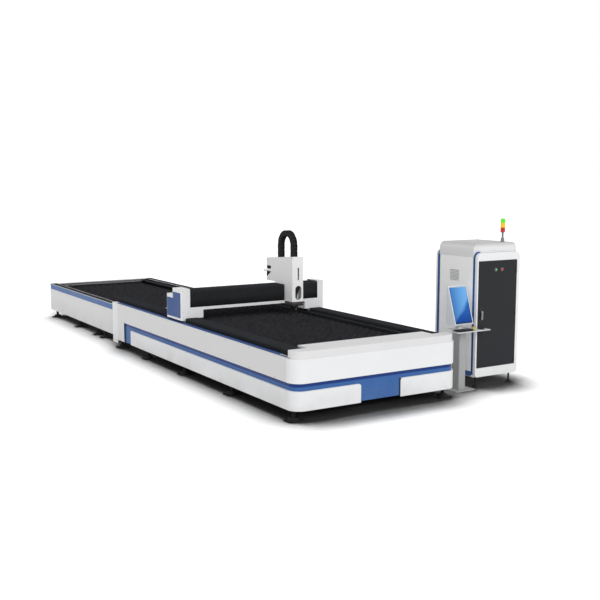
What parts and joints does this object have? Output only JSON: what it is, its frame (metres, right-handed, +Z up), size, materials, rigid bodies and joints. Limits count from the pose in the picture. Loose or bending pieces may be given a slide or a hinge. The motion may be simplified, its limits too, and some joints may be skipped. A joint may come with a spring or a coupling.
{
  "type": "fiber laser cutting machine",
  "caption": "Flat bed laser cutter for sheet metal: a moving beam with a cutting head over a slatted pallet, an exchange table behind, a control cabinet and an operator stand.",
  "frame": {"origin": "on the floor at the middle of the bed, which is the centre of the four anchor holes", "axes": "+X to the right of someone at the front, +Y back along the bed towards the exchange table, +Z up"},
  "size_m": [3.609, 9.45, 2.158],
  "materials": {
    "white_paint": "satin powder coat",
    "grey_paint": "satin powder coat",
    "light_grey_paint": "satin powder coat",
    "blue_paint": "satin powder coat",
    "frame_paint": "matt paint",
    "black_paint": "matt powder coat",
    "door_paint": "fine textured coat",
    "bellows_cloth": "coated cloth",
    "rail_steel": "ground",
    "slat_steel": "mill scale",
    "zinc_steel": "zinc plated",
    "motor_black": "satin",
    "alloy": "anodised",
    "nozzle_copper": "polished",
    "chain_plastic": "moulded",
    "source_grey": "satin",
    "lamp_red_plastic": "clear lens",
    "lamp_yellow_plastic": "clear lens",
    "lamp_green_plastic": "clear lens",
    "stand_paint": "satin powder coat",
    "keyboard_plastic": "moulded",
    "monitor_paint": "satin powder coat",
    "screen_face": "gloss",
    "handle_black": "moulded",
    "button_green": "moulded",
    "button_red": "moulded"
  },
  "bodies": {
    "base": {"bed_side_beams": "frame_paint", "bed_cross_beams": "frame_paint", "levelling_feet": "zinc_steel", "front_fascia": "white_paint", "front_top_cover": "white_paint", "side_panels": "grey_paint", "recess_panels": "blue_paint", "lower_panels": "white_paint", "rear_covers": "white_paint", "side_decks": "black_paint", "y_guides": "rail_steel", "y_bellows_front": "bellows_cloth", "y_bellows_rear": "bellows_cloth", "pallet_rails": "black_paint", "scrap_trays": "zinc_steel", "exchange_side_beams": "black_paint", "exchange_cross_beams": "black_paint", "exchange_panels": "grey_paint", "exchange_stripes": "blue_paint", "exchange_motor": "motor_black", "cabinet_shell": "grey_paint", "cabinet_frames": "white_paint", "cabinet_top_cover": "light_grey_paint", "cabinet_trims": "blue_paint", "laser_source": "source_grey", "tower_pole": "alloy", "lamp_red": "lamp_red_plastic", "lamp_yellow": "lamp_yellow_plastic", "lamp_green": "lamp_green_plastic", "console_stand": "stand_paint", "keyboard": "keyboard_plastic", "monitor_housing": "monitor_paint", "monitor_screen": "screen_face"},
    "gantry": {"gantry_beam": "frame_paint", "gantry_covers": "white_paint", "gantry_side_plates": "blue_paint", "y_carriages": "alloy", "y_motors": "motor_black", "x_bellows_left": "bellows_cloth", "x_bellows_right": "bellows_cloth"},
    "y_pinion_left": {"y_pinion_left": "rail_steel"},
    "y_pinion_right": {"y_pinion_right": "rail_steel"},
    "carriage": {"carriage_plate": "alloy", "carriage_motors": "motor_black", "head_cover": "white_paint", "z_chain": "chain_plastic"},
    "x_pinion": {"x_pinion": "rail_steel"},
    "z_screw": {"z_screw": "rail_steel"},
    "head": {"laser_head": "alloy", "nozzle": "nozzle_copper"},
    "upper_pallet": {"upper_pallet_frame": "black_paint", "upper_slats": "slat_steel"},
    "lower_pallet": {"lower_pallet_frame": "black_paint", "lower_slats": "slat_steel"},
    "exchange_shaft": {"exchange_shaft": "zinc_steel"},
    "cabinet_door": {"cabinet_door": "door_paint"},
    "door_handle": {"door_handle": "handle_black"},
    "start_button": {"start_button": "button_green"},
    "stop_button": {"stop_button": "button_red"},
    "e_stop": {"e_stop": "button_red"}
  },
  "joints": [
    {"name": "gantry_slide", "type": "slide", "parent": "base", "child": "gantry", "axis": [0, 1, 0], "range_m": [-1.904, 1.088], "deforming": ["y_bellows_front", "y_bellows_rear"]},
    {"name": "carriage_slide", "type": "slide", "parent": "gantry", "child": "carriage", "axis": [1, 0, 0], "range_m": [-1.3, 0.18], "deforming": ["x_bellows_left", "x_bellows_right"]},
    {"name": "head_slide", "type": "slide", "parent": "carriage", "child": "head", "axis": [0, 0, 1], "range_m": [-0.17, 0.08], "deforming": ["z_chain"]},
    {"name": "screw_spin", "type": "hinge", "parent": "carriage", "child": "z_screw", "pos_m": [0.575, 0.115, 1.2], "axis": [0, 0, 1], "continuous": true},
    {"name": "left_pinion_spin", "type": "hinge", "parent": "gantry", "child": "y_pinion_left", "pos_m": [-0.95, 0.56, 0.75], "axis": [0, 0, 1], "continuous": true},
    {"name": "right_pinion_spin", "type": "hinge", "parent": "gantry", "child": "y_pinion_right", "pos_m": [0.95, 0.56, 0.75], "axis": [0, 0, 1], "continuous": true},
    {"name": "cross_pinion_spin", "type": "hinge", "parent": "carriage", "child": "x_pinion", "pos_m": [0.5665, 0.21, 1.14], "axis": [0, 0, 1], "continuous": true},
    {"name": "upper_pallet_slide", "type": "slide", "parent": "base", "child": "upper_pallet", "axis": [0, 1, 0], "range_m": [0, 5.2]},
    {"name": "lower_pallet_slide", "type": "slide", "parent": "base", "child": "lower_pallet", "axis": [0, 1, 0], "range_m": [-5.2, 0]},
    {"name": "exchange_shaft_spin", "type": "hinge", "parent": "base", "child": "exchange_shaft", "pos_m": [0, 6.5, 0.34], "axis": [1, 0, 0], "continuous": true},
    {"name": "door_hinge", "type": "hinge", "parent": "base", "child": "cabinet_door", "pos_m": [2.385, -2.525, 0.95], "axis": [0, 0, 1], "range_deg": [0, 110]},
    {"name": "handle_turn", "type": "hinge", "parent": "cabinet_door", "child": "door_handle", "pos_m": [1.78, -2.525, 0.988], "axis": [0, -1, 0], "range_deg": [0, 90]},
    {"name": "start_press", "type": "slide", "parent": "cabinet_door", "child": "start_button", "axis": [0, 1, 0], "range_m": [0, 0.004], "stiffness_N_per_m": 400},
    {"name": "stop_press", "type": "slide", "parent": "cabinet_door", "child": "stop_button", "axis": [0, 1, 0], "range_m": [0, 0.004], "stiffness_N_per_m": 400},
    {"name": "e_stop_press", "type": "slide", "parent": "base", "child": "e_stop", "axis": [0, 0, -1], "range_m": [0, 0.005]}
  ],
  "couplings": [
    {"joint": "screw_spin", "follows": "head_slide", "rad_per_m": -628.32},
    {"joint": "left_pinion_spin", "follows": "gantry_slide", "rad_per_m": 33.333},
    {"joint": "right_pinion_spin", "follows": "gantry_slide", "rad_per_m": -33.333},
    {"joint": "cross_pinion_spin", "follows": "carriage_slide", "rad_per_m": 33.333},
    {"joint": "lower_pallet_slide", "follows": "upper_pallet_slide", "ratio": -1},
    {"joint": "exchange_shaft_spin", "follows": "upper_pallet_slide", "rad_per_m": -20}
  ]
}
